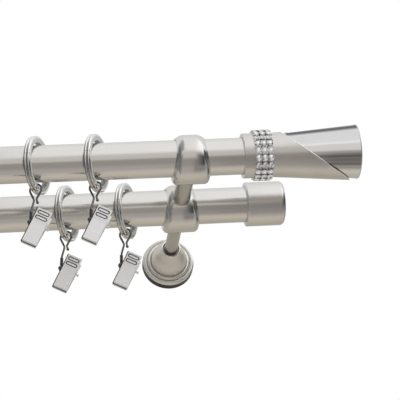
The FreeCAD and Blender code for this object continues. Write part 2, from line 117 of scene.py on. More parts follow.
def white_room():
    """White to the camera, in mirrors and through glass, and a plain level on the piece itself."""
    world = bpy.data.worlds.new("white_room")
    world.use_nodes = True
    tree = world.node_tree
    back = tree.nodes["Background"]
    back.inputs["Color"].default_value = (1, 1, 1, 1)
    rays = tree.nodes.new("ShaderNodeLightPath")
    seen = math_node(tree, "MAXIMUM")
    through = math_node(tree, "MAXIMUM")
    level = tree.nodes.new("ShaderNodeMapRange")
    level.inputs["To Min"].default_value = 0.7
    level.inputs["To Max"].default_value = 1.0
    link_nodes(
        tree,
        (rays.outputs["Is Camera Ray"], seen.inputs[0]),
        (rays.outputs["Is Glossy Ray"], seen.inputs[1]),
        (seen.outputs[0], through.inputs[0]),
        (rays.outputs["Is Transmission Ray"], through.inputs[1]),
        (through.outputs[0], level.inputs["Value"]),
        (level.outputs["Result"], back.inputs["Strength"]),
    )
    bpy.context.scene.world = world


def stage_piece(name, corners, faces, material):
    mesh = bpy.data.meshes.new(name)
    mesh.from_pydata(corners, [], faces)
    mesh.materials.append(material)
    piece = bpy.data.objects.new(name, mesh)
    bpy.context.scene.collection.objects.link(piece)
    return piece


def pale_floor_paint():
    paint = bpy.data.materials.new("pale_floor")
    paint.use_nodes = True
    tree = paint.node_tree
    shader = tree.nodes["Principled BSDF"]
    shader.inputs["Roughness"].default_value = 0.8
    place = tree.nodes.new("ShaderNodeTexCoord")
    cloud = tree.nodes.new("ShaderNodeTexNoise")
    cloud.inputs["Scale"].default_value = 0.8
    shade = tree.nodes.new("ShaderNodeValToRGB")
    shade.color_ramp.elements[0].color = (*grey(0.86), 1)
    shade.color_ramp.elements[1].color = (*grey(0.9), 1)
    link_nodes(
        tree,
        (place.outputs["Object"], cloud.inputs["Vector"]),
        (cloud.outputs["Fac"], shade.inputs["Fac"]),
        (shade.outputs["Color"], shader.inputs["Base Color"]),
    )
    return paint


def glowing_board(name, axis, stops):
    """A board whose brightness runs along one of its axes through the given stops."""
    paint = bpy.data.materials.new(name)
    paint.use_nodes = True
    tree = paint.node_tree
    tree.nodes.remove(tree.nodes["Principled BSDF"])
    glow = tree.nodes.new("ShaderNodeEmission")
    map_uv = tree.nodes.new("ShaderNodeUVMap")
    split = tree.nodes.new("ShaderNodeSeparateXYZ")
    ramp = tree.nodes.new("ShaderNodeValToRGB")
    fill_ramp(ramp, stops)
    link_nodes(
        tree,
        (map_uv.outputs["UV"], split.inputs["Vector"]),
        (split.outputs[axis], ramp.inputs["Fac"]),
        (ramp.outputs["Color"], glow.inputs["Color"]),
        (glow.outputs["Emission"], tree.nodes["Material Output"].inputs["Surface"]),
    )
    return paint


def only_mirrored(board):
    board.visible_camera = False
    board.visible_diffuse = False
    board.visible_shadow = False
    board.visible_transmission = False
    board.visible_volume_scatter = False


def curved_board(name, stops, left=-2.2, right=2.4, radius=0.74):
    """A board bent round the poles, with its colours given by angle from straight in front."""
    steps = 60
    axis_y = -0.13
    first, last = stops[0][0], stops[-1][0]
    corners, faces, along = [], [], []
    for number in range(steps + 1):
        turn = math.radians(first + (last - first) * number / steps)
        for x in (left, right):
            corners.append((x, axis_y - radius * math.cos(turn), radius * math.sin(turn)))
            along.append(number / steps)
    for number in range(steps):
        base = number * 2
        faces.append((base, base + 1, base + 3, base + 2))
    shares = [((angle - first) / (last - first), colour) for angle, colour in stops]
    board = stage_piece(name, corners, faces, glowing_board(name, 0, shares))
    uv = board.data.uv_layers.new(name="along")
    for loop in board.data.loops:
        uv.data[loop.index].uv = (along[loop.vertex_index], 0.5)
    only_mirrored(board)


def flat_board(name, corners, axis, *stops):
    """A flat board whose greys run from its first corner to its second, or on axis 1 to its last."""
    shares = [(place, grey(level)) for place, level in stops]
    board = stage_piece(name, corners, [(0, 1, 2, 3)], glowing_board(name, axis, shares))
    uv = board.data.uv_layers.new(name="along")
    for loop, place in zip(board.data.loops, ((0, 0), (1, 0), (1, 1), (0, 1))):
        uv.data[loop.index].uv = place
    only_mirrored(board)


def side_board(name, x, near, low, high, *stops):
    far = 1.0
    flat_board(name, [(x, near, low), (x, far, low), (x, far, high), (x, near, high)], 1, *stops)


def soft_lamp(name, place, target, width, height, power):
    data = bpy.data.lights.new(name, "AREA")
    data.shape = "RECTANGLE"
    data.size = width
    data.size_y = height
    data.energy = power
    lamp = bpy.data.objects.new(name, data)
    bpy.context.scene.collection.objects.link(lamp)
    lamp.location = place
    lamp.rotation_euler = (Vector(target) - Vector(place)).to_track_quat("-Z", "Y").to_euler()
    lamp.visible_camera = False
    lamp.visible_glossy = False


white_room()
floor_reach, floor_height = 14, -0.8
floor_corners = [
    (x * floor_reach, y * floor_reach, floor_height) for x, y in ((-1, -1), (1, -1), (1, 1), (-1, 1))
]
stage_piece("floor", floor_corners, [(0, 1, 2, 3)], pale_floor_paint())

# The broad boards, in front of both poles and over them
curved_board(
    "front_apron",
    (
        (22, (1.00, 1.00, 1.00)),
        (14, (0.90, 0.89, 0.89)),
        (6, (0.68, 0.65, 0.63)),
        (-18, (0.67, 0.63, 0.60)),
        (-24, (0.37, 0.34, 0.32)),
        (-50, (0.37, 0.34, 0.32)),
        (-68, (0.47, 0.45, 0.43)),
        (-82, (0.48, 0.45, 0.42)),
        (-98, (0.63, 0.58, 0.53)),
        (-112, (0.66, 0.60, 0.52)),
        (-132, (0.58, 0.54, 0.46)),
        (-156, (0.48, 0.45, 0.39)),
        (-200, (0.50, 0.48, 0.45)),
    ),
)
curved_board("top_board", ((158, grey(0.68)), (130, grey(0.76)), (98, grey(0.90)), (76, grey(1.00))))

# Narrower boards in front of them, which change the metal's tone from left to right
first_radius, next_board = 0.73, 0.01
for number, (left, level) in enumerate(((0.76, 0.24), (0.84, 0.13), (0.94, 0.04))):
    curved_board(
        f"dark_right_{number}",
        ((2, grey(0.50)), (-10, grey(level)), (-54, grey(level)), (-66, grey(0.40))),
        left=left,
        radius=first_radius - next_board * number,
    )
for number, (right, level) in enumerate(((0.43, 0.80), (0.40, 0.55), (0.34, 0.36))):
    curved_board(
        f"dim_left_{number}",
        ((84, grey(0.80)), (66, grey(level)), (22, grey(level)), (14, grey(0.70))),
        right=right,
        radius=first_radius - next_board * number,
    )
for number, (left, level) in enumerate(((0.755, 1.15), (0.80, 1.35))):
    curved_board(
        f"bright_right_{number}",
        ((84, grey(1.0)), (66, grey(level)), (20, grey(level)), (8, grey(0.90))),
        left=left,
        radius=first_radius - next_board * number,
    )
curved_board(
    "band_right",
    (
        (-22, (0.42, 0.39, 0.37)),
        (-33, (0.27, 0.25, 0.24)),
        (-78, (0.27, 0.25, 0.24)),
        (-92, (0.50, 0.46, 0.42)),
        (-104, (0.62, 0.57, 0.51)),
    ),
    left=0.665,
    radius=0.735,
)
curved_board(
    "dark_left",
    (
        (6, (0.50, 0.46, 0.45)),
        (-8, (0.33, 0.31, 0.30)),
        (-70, (0.33, 0.31, 0.30)),
        (-100, (0.32, 0.30, 0.28)),
    ),
    right=0.24,
    radius=0.72,
)
curved_board(
    "far_left",
    ((84, grey(0.50)), (60, grey(0.17)), (-66, grey(0.17)), (-100, grey(0.35))),
    right=-0.08,
    radius=0.69,
)

# Flat boards past the ends of the poles and behind them
side_board(
    "left_board", -1.25, -2.0, -0.78, 1.8, (0.0, 0.35), (0.3, 0.12), (0.62, 0.10), (0.78, 0.30), (1.0, 0.5)
)
side_board(
    "right_board", 1.5, -1.3, -0.78, 0.48, (0.0, 0.50), (0.35, 0.35), (0.52, 0.03), (0.9, 0.03), (1.0, 0.6)
)
back_corners = [(-0.6, 0.8, -0.5), (0.40, 0.8, -0.5), (0.40, 0.8, 0.42), (-0.6, 0.8, 0.42)]
flat_board("back_board", back_corners, 0, (0.0, 0.04))
soft_lamp("soft_lamp_left", (-0.9, -1.7, 1.5), (0.2, -0.1, 0), width=1.8, height=1.4, power=8)
soft_lamp("soft_lamp_right", (2.0, -0.9, 0.9), (0.5, -0.1, 0), width=1.8, height=1.6, power=11)


# Poles
# Two round steel tubes with a 1 mm wall, drawn and then brushed lengthwise to a satin sheen.
# They rest in the holders of the brackets and are clamped there by grub screws.
def group_nodes(name, takes, gives):
    """An empty shader group with its named inputs and outputs, and its two end nodes."""
    group = bpy.data.node_groups.new(name, "ShaderNodeTree")
    for label, kind, value in takes:
        socket = group.interface.new_socket(label, in_out="INPUT", socket_type=kind)
        socket.default_value = value
    for label, kind in gives:
        group.interface.new_socket(label, in_out="OUTPUT", socket_type=kind)
    return group, group.nodes.new("NodeGroupInput"), group.nodes.new("NodeGroupOutput")


def brushed_grain_group():
    """Fine brush lines, and a slow cloud of more and less polish over them."""
    group, start, end = group_nodes(
        "brushed_grain",
        (
            ("Place", "NodeSocketVector", (0, 0, 0)),
            ("Lines", "NodeSocketVector", (1, 1, 1)),
            ("Cloud Size", "NodeSocketFloat", 30),
            ("Polish", "NodeSocketFloat", 0.25),
            ("Polish Spread", "NodeSocketFloat", 0.1),
            ("Dark", "NodeSocketColor", (0.6, 0.6, 0.6, 1)),
            ("Light", "NodeSocketColor", (0.8, 0.8, 0.8, 1)),
        ),
        (
            ("Colour", "NodeSocketColor"),
            ("Roughness", "NodeSocketFloat"),
            ("Height", "NodeSocketFloat"),
        ),
    )
    share_of_lines = 0.55
    stretch = vector_node(group, "MULTIPLY")
    lines = group.nodes.new("ShaderNodeTexNoise")
    lines.inputs["Scale"].default_value = 1
    lines.inputs["Detail"].default_value = 3
    cloud = group.nodes.new("ShaderNodeTexNoise")
    cloud.inputs["Detail"].default_value = 2
    both = math_node(group, "MULTIPLY_ADD", None, share_of_lines)
    share = math_node(group, "MULTIPLY", None, 1 - share_of_lines)
    colour = group.nodes.new("ShaderNodeMix")
    colour.data_type = "RGBA"
    centred = math_node(group, "SUBTRACT", None, 0.5)
    rough = math_node(group, "MULTIPLY_ADD")
    link_nodes(
        group,
        (start.outputs["Place"], stretch.inputs[0]),
        (start.outputs["Lines"], stretch.inputs[1]),
        (stretch.outputs[0], lines.inputs["Vector"]),
        (start.outputs["Place"], cloud.inputs["Vector"]),
        (start.outputs["Cloud Size"], cloud.inputs["Scale"]),
        (cloud.outputs["Fac"], share.inputs[0]),
        (lines.outputs["Fac"], both.inputs[0]),
        (share.outputs[0], both.inputs[2]),
        (both.outputs[0], colour.inputs["Factor"]),
        (start.outputs["Dark"], colour.inputs["A"]),
        (start.outputs["Light"], colour.inputs["B"]),
        (colour.outputs["Result"], end.inputs["Colour"]),
        (both.outputs[0], centred.inputs[0]),
        (centred.outputs[0], rough.inputs[0]),
        (start.outputs["Polish Spread"], rough.inputs[1]),
        (start.outputs["Polish"], rough.inputs[2]),
        (rough.outputs[0], end.inputs["Roughness"]),
        (lines.outputs["Fac"], end.inputs["Height"]),
    )
    return group


brushed_grain = brushed_grain_group()


def grained(name, dark, light, polish, spread, lines, depth, cloud):
    """A material with the grain in its colour, its polish and its surface."""
    material = bpy.data.materials.new(name)
    material.use_nodes = True
    tree = material.node_tree
    shader = tree.nodes["Principled BSDF"]
    place = tree.nodes.new("ShaderNodeTexCoord")
    grain = tree.nodes.new("ShaderNodeGroup")
    grain.node_tree = brushed_grain
    grain.inputs["Lines"].default_value = lines
    grain.inputs["Cloud Size"].default_value = cloud
    grain.inputs["Polish"].default_value = polish
    grain.inputs["Polish Spread"].default_value = spread
    grain.inputs["Dark"].default_value = (*dark, 1)
    grain.inputs["Light"].default_value = (*light, 1)
    bump = tree.nodes.new("ShaderNodeBump")
    bump.inputs["Strength"].default_value = 0.4
    bump.inputs["Distance"].default_value = depth
    link_nodes(
        tree,
        (place.outputs["Object"], grain.inputs["Place"]),
        (grain.outputs["Colour"], shader.inputs["Base Color"]),
        (grain.outputs["Roughness"], shader.inputs["Roughness"]),
        (grain.outputs["Height"], bump.inputs["Height"]),
        (bump.outputs["Normal"], shader.inputs["Normal"]),
    )
    return material, shader


def brushed_metal(name, dark, light, polish, spread, lines, depth, cloud=30, metallic=1):
    """A metal whose brush lines are as close together as lines says, per metre along each axis."""
    metal, shader = grained(name, dark, light, polish, spread, lines, depth, cloud)
    shader.inputs["Metallic"].default_value = metallic
    return metal


def finish_node(name, material):
    """The CAD node keeps its shape and gets the material."""
    mesh = frame["nodes"][name].data
    mesh.materials.clear()
    mesh.materials.append(material)


tube_satin = brushed_metal(
    "tube_satin", (0.68, 0.67, 0.65), (0.78, 0.77, 0.75),
    polish=0.18, spread=0.08, lines=(60, 2600, 2600), depth=0.00002,
)
for pole in ("front_pole", "back_pole"):
    finish_node(pole, tube_satin)

# Wall plates
# Zinc-plated steel discs with a threaded boss for the arm and two countersunk holes, by which
# each one is screwed to the wall. The rose hides all of it.
ends = ("right", "left")
zinc_steel = brushed_metal(
    "zinc_steel", (0.50, 0.52, 0.55), (0.68, 0.70, 0.72),
    polish=0.38, spread=0.25, lines=(500, 500, 500), depth=0.00003, cloud=120,
)
for end in ends:
    finish_node(f"wall_plate_{end}", zinc_steel)


# Backing rings
# Black moulded plastic rings that space the roses off the wall and keep them from marking it.
# Each one is held between its rose and the wall.
def moulded_plastic(name, dark, light, roughness, spread, specks, depth, specular=0.5):
    plastic, shader = grained(name, dark, light, roughness, spread, grey(specks), depth, cloud=80)
    shader.inputs["IOR"].default_value = 1.5
    shader.inputs["Specular IOR Level"].default_value = specular
    return plastic


black_plastic = moulded_plastic(
    "black_plastic", (0.006, 0.006, 0.007), (0.014, 0.014, 0.015),
    roughness=0.25, spread=0.1, specks=1500, depth=0.00001, specular=0.2,
)
for end in ends:
    finish_node(f"backing_ring_{end}", black_plastic)

# Brackets
# Zinc castings, turned and satin nickel plated: the rose, the thin arm to the wall, the holder
# of the back pole, the thick arm and the holder of the front pole, whose faces swell a little.
# Blackened grub screws clamp the poles in the holders.
cast_nickel = brushed_metal(
    "cast_nickel", (0.64, 0.63, 0.61), (0.76, 0.75, 0.72),
    polish=0.20, spread=0.08, lines=(1400, 1400, 1400), depth=0.00001, cloud=40,
)
arm_nickel = brushed_metal(
    "arm_nickel", (0.50, 0.48, 0.45), (0.62, 0.60, 0.56),
    polish=0.26, spread=0.08, lines=(1800, 300, 1800), depth=0.00001, cloud=40,
)
rose_nickel = brushed_metal(
    "rose_nickel", (0.60, 0.58, 0.53), (0.70, 0.67, 0.61),
    polish=0.45, spread=0.08, lines=(1400, 300, 1400), depth=0.00001, cloud=40, metallic=0.75,
)
screw_steel = brushed_metal(
    "screw_steel", (0.20, 0.20, 0.21), (0.34, 0.34, 0.35),
    polish=0.36, spread=0.2, lines=(900, 900, 900), depth=0.00003, cloud=200,
)


def swelling_group():
    """Leans the normal outwards to both sides, as on a ring whose outside swells in the middle."""
    group, start, end = group_nodes(
        "swelling",
        (
            ("Normal", "NodeSocketVector", (0, 0, 0)),
            ("Place", "NodeSocketVector", (0, 0, 0)),
            ("Centre", "NodeSocketFloat", 0.5),
            ("Lean", "NodeSocketFloat", 15),
        ),
        (("Normal", "NodeSocketVector"),),
    )
    split = group.nodes.new("ShaderNodeSeparateXYZ")
    size = math_node(group, "ABSOLUTE")
    side = math_node(group, "SIGN")
    off = math_node(group, "SUBTRACT")
    lean = math_node(group, "MULTIPLY")
    signed = math_node(group, "MULTIPLY")
    push = group.nodes.new("ShaderNodeCombineXYZ")
    total = vector_node(group, "ADD")
    unit = vector_node(group, "NORMALIZE")
    link_nodes(
        group,
        (start.outputs["Place"], split.inputs["Vector"]),
        (split.outputs["X"], size.inputs[0]),
        (split.outputs["X"], side.inputs[0]),
        (size.outputs[0], off.inputs[0]),
        (start.outputs["Centre"], off.inputs[1]),
        (off.outputs[0], lean.inputs[0]),
        (start.outputs["Lean"], lean.inputs[1]),
        (lean.outputs[0], signed.inputs[0]),
        (side.outputs[0], signed.inputs[1]),
        (signed.outputs[0], push.inputs["X"]),
        (start.outputs["Normal"], total.inputs[0]),
        (push.outputs["Vector"], total.inputs[1]),
        (total.outputs["Vector"], unit.inputs[0]),
        (unit.outputs["Vector"], end.inputs["Normal"]),
    )
    return group


def swell(metal, centre, lean):
    """The swelling over the metal's own surface, with its middle at the centre on both ends."""
    tree = metal.node_tree
    shader = tree.nodes["Principled BSDF"]
    swelling = tree.nodes.new("ShaderNodeGroup")
    swelling.node_tree = swelling_group()
    swelling.inputs["Centre"].default_value = centre
    swelling.inputs["Lean"].default_value = lean
    plain = shader.inputs["Normal"].links[0].from_socket
    place = next(node for node in tree.nodes if node.bl_idname == "ShaderNodeTexCoord")
    link_nodes(
        tree,
        (plain, swelling.inputs["Normal"]),
        (place.outputs["Object"], swelling.inputs["Place"]),
        (swelling.outputs["Normal"], shader.inputs["Normal"]),
    )


holder_low, holder_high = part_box("front_holder_right")
swell(cast_nickel, centre=(holder_low[0] + holder_high[0]) / 2, lean=32)
for end in ends:
    finish_node(f"front_holder_{end}", cast_nickel)
    finish_node(f"back_holder_{end}", cast_nickel)
    finish_node(f"front_arm_{end}", arm_nickel)
    finish_node(f"back_arm_{end}", arm_nickel)
    finish_node(f"wall_rose_{end}", rose_nickel)
    finish_node(f"holder_screws_{end}", screw_steel)


def mesh_piece(name, corners, faces, *paints):
    """A piece from its corners and faces, with all its faces turned outwards."""
    mesh = bpy.data.meshes.new(name)
    mesh.from_pydata(corners, [], faces)
    if faces:
        skin = bmesh.new()
        skin.from_mesh(mesh)
        bmesh.ops.recalc_face_normals(skin, faces=skin.faces)
        skin.to_mesh(mesh)
        skin.free()
    for paint in paints:
        mesh.materials.append(paint)
    piece = bpy.data.objects.new(name, mesh)
    bpy.context.scene.collection.objects.link(piece)
    return piece


def swept_wire(name, lines, radius, paint):
    """Round wire along one or more lists of points; a closed one ends with its first point."""
    curve = bpy.data.curves.new(name, "CURVE")
    curve.dimensions = "3D"
    curve.bevel_depth = radius
    curve.bevel_resolution = 2
    curve.use_fill_caps = True
    for points in lines:
        closed = (points[0] - points[-1]).length < 1e-7
        kept = points[:-1] if closed else points
        spline = curve.splines.new("POLY")
        spline.use_cyclic_u = closed
        spline.points.add(len(kept) - 1)
        for place, point in zip(spline.points, kept):
            place.co = (*point, 1)
    maker = bpy.data.objects.new(name + "_curve", curve)
    bpy.context.scene.collection.objects.link(maker)
    depsgraph = bpy.context.evaluated_depsgraph_get()
    mesh = bpy.data.meshes.new_from_object(maker.evaluated_get(depsgraph), depsgraph=depsgraph)
    bpy.data.objects.remove(maker)
    mesh.materials.clear()
    mesh.materials.append(paint)
    for face in mesh.polygons:
        face.use_smooth = True
    piece = bpy.data.objects.new(name, mesh)
    bpy.context.scene.collection.objects.link(piece)
    return piece


def closed_circle(centre, radius, across, up, steps):
    """Points round a centre in the plane of two directions, with the first one again as the last."""
    line = []
    for step in range(steps):
        turn = 2 * math.pi * step / steps
        line.append(centre + (across * math.cos(turn) + up * math.sin(turn)) * radius)
    return line + line[:1]


# A dark bush sits in the mouth of each rose as painted shade in the gap round the arm, and
# polished beads, lighter than the rose as painted highlight lines, run along its two steps and
# round its mouth.
x_axis, y_axis, z_axis = Vector((1, 0, 0)), Vector((0, 1, 0)), Vector((0, 0, 1))


def bush(name, centre, front, back, inner, outer, paint):
    """A flat ring round an axis that runs from front to back."""
    corners, faces = [], []
    sides = 48
    for radius, y in ((inner, front), (outer, front), (outer, back), (inner, back)):
        middle = Vector((centre.x, y, centre.z))
        corners += closed_circle(middle, radius, x_axis, z_axis, sides)[:-1]
    for loop in range(4):
        base, beyond = loop * sides, (loop + 1) % 4 * sides
        for side in range(sides):
            after = (side + 1) % sides
            faces.append((base + side, base + after, beyond + after, beyond + side))
    return mesh_piece(name, corners, faces, paint)


def fine_metal(name, dark, light, polish, spread=0.1, lines=1500, cloud=60, metallic=1):
    """The metal of small trim, with a fine grain that is even all round."""
    depth = 0.00001
    return brushed_metal(name, dark, light, polish, spread, grey(lines), depth, cloud, metallic)


# Painted shade: the bush is dark to stand for the shaded gap between the arm and the rose.
gap_shade_steel = fine_metal("gap_shade_steel", (0.20, 0.19, 0.18), (0.30, 0.29, 0.27), polish=0.4)
# Polished, and painted lighter than the rose's own nickel as highlight lines on its steps.
bead_polish_and_highlight = fine_metal(
    "bead_polish_and_highlight", (0.84, 0.83, 0.81), (0.94, 0.93, 0.91), polish=0.14, spread=0.08, lines=900
)
bush_inner, bush_outer = 0.00483, 0.00604
bush_front, bush_back = 0.0008, 0.0020
bead_circles = ((0.01775, -0.00660), (0.01436, -0.00815), (0.00655, -0.02778))
bead_radius = 0.0007
for end in ends:
    arm_low, arm_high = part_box(f"back_arm_{end}")
    centre = (Vector(arm_low) + Vector(arm_high)) / 2
    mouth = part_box(f"wall_rose_{end}")[0][1]
    front, back = mouth + bush_front, mouth + bush_back
    rose_bush = bush(f"rose_bush_{end}", centre, front, back, bush_inner, bush_outer, gap_shade_steel)
    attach(rose_bush, "tubes_and_brackets")
    circles = [
        closed_circle(Vector((centre.x, y, centre.z)), radius, x_axis, z_axis, 72)
        for radius, y in bead_circles
    ]
    rose_beads = swept_wire(f"rose_beads_{end}", circles, bead_radius, bead_polish_and_highlight)
    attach(rose_beads, "tubes_and_brackets")

# End caps
# Deep drawn cups with a rolled outer edge, turned across their face and nickel plated. They
# slide over the ends of the back pole, and a grub screw holds each of them.
cap_nickel = brushed_metal(
    "cap_nickel", (0.62, 0.61, 0.59), (0.80, 0.79, 0.76),
    polish=0.30, spread=0.12, lines=(2400, 260, 260), depth=0.00002, cloud=40,
)
for end in ends:
    finish_node(f"end_cap_{end}", cap_nickel)
    finish_node(f"end_screws_{end}", screw_steel)

# Finials
# A collar over the end of the front pole carries a band of three chains of set crystals. From
# it a satin sleeve, cut off slantwise, wraps a polished cone that flares towards its open end.
pole_y = -0.162
cone_steel = brushed_metal(
    "cone_steel", grey(0.84), grey(0.98),
    polish=0.08, spread=0.08, lines=(12, 1600, 1600), depth=0.00003, cloud=60,
)
sleeve_nickel = brushed_metal(
    "sleeve_nickel", (0.58, 0.57, 0.55), (0.76, 0.75, 0.72),
    polish=0.26, spread=0.10, lines=(120, 2400, 2400), depth=0.00002, cloud=60,
)
setting_steel = fine_metal(
    "setting_steel", (0.62, 0.62, 0.61), (0.80, 0.80, 0.79), polish=0.24, lines=900, cloud=100
)
# Painted reflection: the prong heads are painted near black, the dark reflection that they show.
prong_shade_black = fine_metal("prong_shade_black", grey(0.02), grey(0.06), polish=0.3, lines=900, cloud=100)


def edge_mask_group():
    """Picks the faces whose slope against one axis lies between two bounds."""
    group, start, end = group_nodes(
        "edge_mask",
        (
            ("Axis", "NodeSocketVector", (0, 1, 0)),
            ("Low", "NodeSocketFloat", 0),
            ("High", "NodeSocketFloat", 0.7),
        ),
        (("Mask", "NodeSocketFloat"),),
    )
    facing = group.nodes.new("ShaderNodeTexCoord")
    slope = vector_node(group, "DOT_PRODUCT")
    above = math_node(group, "GREATER_THAN")
    below = math_node(group, "LESS_THAN")
    both = math_node(group, "MULTIPLY")
    link_nodes(
        group,
        (facing.outputs["Normal"], slope.inputs[0]),
        (start.outputs["Axis"], slope.inputs[1]),
        (slope.outputs["Value"], above.inputs[0]),
        (start.outputs["Low"], above.inputs[1]),
        (slope.outputs["Value"], below.inputs[0]),
        (start.outputs["High"], below.inputs[1]),
        (above.outputs[0], both.inputs[0]),
        (below.outputs[0], both.inputs[1]),
        (both.outputs[0], end.inputs["Mask"]),
    )
    return group


edge_mask = edge_mask_group()


def masked_paint(metal, axis, low, high, blend="MIX"):
    """A second paint over the metal's own, only where the faces' slope is between the bounds."""
    tree = metal.node_tree
    paint = tree.nodes["Principled BSDF"].inputs["Base Color"]
    plain = paint.links[0].from_socket
    mask = tree.nodes.new("ShaderNodeGroup")
    mask.node_tree = edge_mask
    mask.inputs["Axis"].default_value = axis
    mask.inputs["Low"].default_value = low
    mask.inputs["High"].default_value = high
    mix = tree.nodes.new("ShaderNodeMix")
    mix.data_type = "RGBA"
    mix.blend_type = blend
    link_nodes(
        tree,
        (mask.outputs["Mask"], mix.inputs["Factor"]),
        (plain, mix.inputs["A"]),
        (mix.outputs["Result"], paint),
    )
    return mix.inputs["B"]


def paint_cone_reflections(metal, stops):
    """Painted reflection: light and dark lengthwise bands on the outside, by angle round the pole's axis.
    """
    painted_reflections = masked_paint(metal, (1, 0, 0), -0.6, 0.6, "MULTIPLY")
    tree = metal.node_tree
    place = tree.nodes.new("ShaderNodeTexCoord")
    centred = vector_node(tree, "SUBTRACT", None, (0, pole_y, 0))
    split = tree.nodes.new("ShaderNodeSeparateXYZ")
    forward = math_node(tree, "MULTIPLY", None, -1)
    turn = math_node(tree, "ARCTAN2")
    share = tree.nodes.new("ShaderNodeMapRange")
    share.inputs["From Min"].default_value = -math.pi
    share.inputs["From Max"].default_value = math.pi
    ramp = tree.nodes.new("ShaderNodeValToRGB")
    fill_ramp(ramp, [(angle / 360 + 0.5, grey(level)) for angle, level in stops])
    link_nodes(
        tree,
        (place.outputs["Object"], centred.inputs[0]),
        (centred.outputs["Vector"], split.inputs["Vector"]),
        (split.outputs["Y"], forward.inputs[0]),
        (split.outputs["Z"], turn.inputs[0]),
        (forward.outputs[0], turn.inputs[1]),
        (turn.outputs[0], share.inputs["Value"]),
        (share.outputs["Result"], ramp.inputs["Fac"]),
        (ramp.outputs["Color"], painted_reflections),
    )


# Painted reflection bands, with a near black one on the upper front of the cone
paint_cone_reflections(
    cone_steel,
    (
        (-180, 0.8), (-130, 0.7), (-114, 0.6), (-106, 0.95), (-78, 0.9), (-71, 0.7), (-67, 0.5),
        (-62, 0.62), (-57, 0.40), (-52, 0.68), (-47, 0.50), (-42, 0.62), (-38, 0.34), (-34, 0.7),
        (-30, 1.0), (-8, 1.0), (-3, 0.74), (26, 0.72), (31, 0.36), (37, 0.05), (60, 0.05),
        (68, 0.6), (120, 0.8), (180, 0.8),
    ),
)


def crystal_glass():
    """Cut glass on foil, with painted sparkle: each facet's colour is set light or dark at random by the
    way that it faces.
    """
    glass = bpy.data.materials.new("crystal")
    glass.use_nodes = True
    tree = glass.node_tree
    shader = tree.nodes["Principled BSDF"]
    shader.inputs["Metallic"].default_value = 0.45
    shader.inputs["Coat Weight"].default_value = 1
    shader.inputs["IOR"].default_value = 1.6
    place = tree.nodes.new("ShaderNodeTexCoord")
    facet = tree.nodes.new("ShaderNodeTexWhiteNoise")
    facet.noise_dimensions = "3D"
    rounded = vector_node(tree, "SNAP", None, (0.12, 0.12, 0.12))
    # Painted sparkle: the light and dark tones of the facets.
    tone = tree.nodes.new("ShaderNodeValToRGB")
    for mark, spot, level in zip(tone.color_ramp.elements, (0.18, 0.42), (0.20, 1.0)):
        mark.position = spot
        mark.color = (*grey(level), 1)
    haze = tree.nodes.new("ShaderNodeTexNoise")
    haze.inputs["Scale"].default_value = 300
    polish = tree.nodes.new("ShaderNodeMapRange")
    polish.inputs["To Min"].default_value = 0.03
    polish.inputs["To Max"].default_value = 0.12
    link_nodes(
        tree,
        (place.outputs["Normal"], rounded.inputs[0]),
        (rounded.outputs["Vector"], facet.inputs["Vector"]),
        (facet.outputs["Value"], tone.inputs["Fac"]),
        (tone.outputs["Color"], shader.inputs["Base Color"]),
        (place.outputs["Object"], haze.inputs["Vector"]),
        (haze.outputs["Fac"], polish.inputs["Value"]),
        (polish.outputs["Result"], shader.inputs["Roughness"]),
    )
    return glass


crystal = crystal_glass()


def cut_stone():
    """A round brilliant: eight-sided table, eight corners round it and a sixteen-sided girdle."""
    table, table_height = 0.00085, 0.00165
    middle, middle_height = 0.00150, 0.00130
    girdle, girdle_height = 0.00204, 0.00075
    foot = 0.00170
    corners, faces = [], []
    for step in range(8):
        turn = math.radians(45 * step)
        corners.append((table * math.cos(turn), table * math.sin(turn), table_height))
    for step in range(8):
        turn = math.radians(45 * step + 22.5)
        corners.append((middle * math.cos(turn), middle * math.sin(turn), middle_height))
    for radius, height in ((girdle, girdle_height), (foot, 0.0)):
        for step in range(16):
            turn = math.radians(22.5 * step)
            corners.append((radius * math.cos(turn), radius * math.sin(turn), height))
    faces.append(tuple(range(8)))
    for step in range(8):
        after = (step + 1) % 8
        left, centre, right = 16 + 2 * step, 17 + 2 * step, 16 + 2 * after
        faces.append((step, 8 + step, after))
        faces.append((step, left, 8 + step))
        faces.append((8 + step, left, centre))
        faces.append((8 + step, centre, right))
        faces.append((after, 8 + step, right))
    for step in range(16):
        after = (step + 1) % 16
        faces.append((16 + step, 32 + step, 32 + after, 16 + after))
    return mesh_piece("stone", corners, faces, crystal)


def prong_bead():
    """The rounded head of a prong."""
    rings, sides, radius, stem = 4, 8, 0.00058, 0.0006
    corners, faces = [], []
    for ring in range(rings):
        rise = math.radians(90 * ring / rings)
        reach, height = radius * math.cos(rise), stem + radius * math.sin(rise)
        for side in range(sides):
            turn = 2 * math.pi * side / sides
            corners.append((reach * math.cos(turn), reach * math.sin(turn), height))
    corners.append((0, 0, stem + radius))
    for ring in range(rings - 1):
        for side in range(sides):
            after = (side + 1) % sides
            low, high = ring * sides, (ring + 1) * sides
            faces.append((low + side, low + after, high + after, high + side))
    top = (rings - 1) * sides
    for side in range(sides):
        faces.append((top + side, top + (side + 1) % sides, rings * sides))
    return mesh_piece("prong", corners, faces, prong_shade_black)


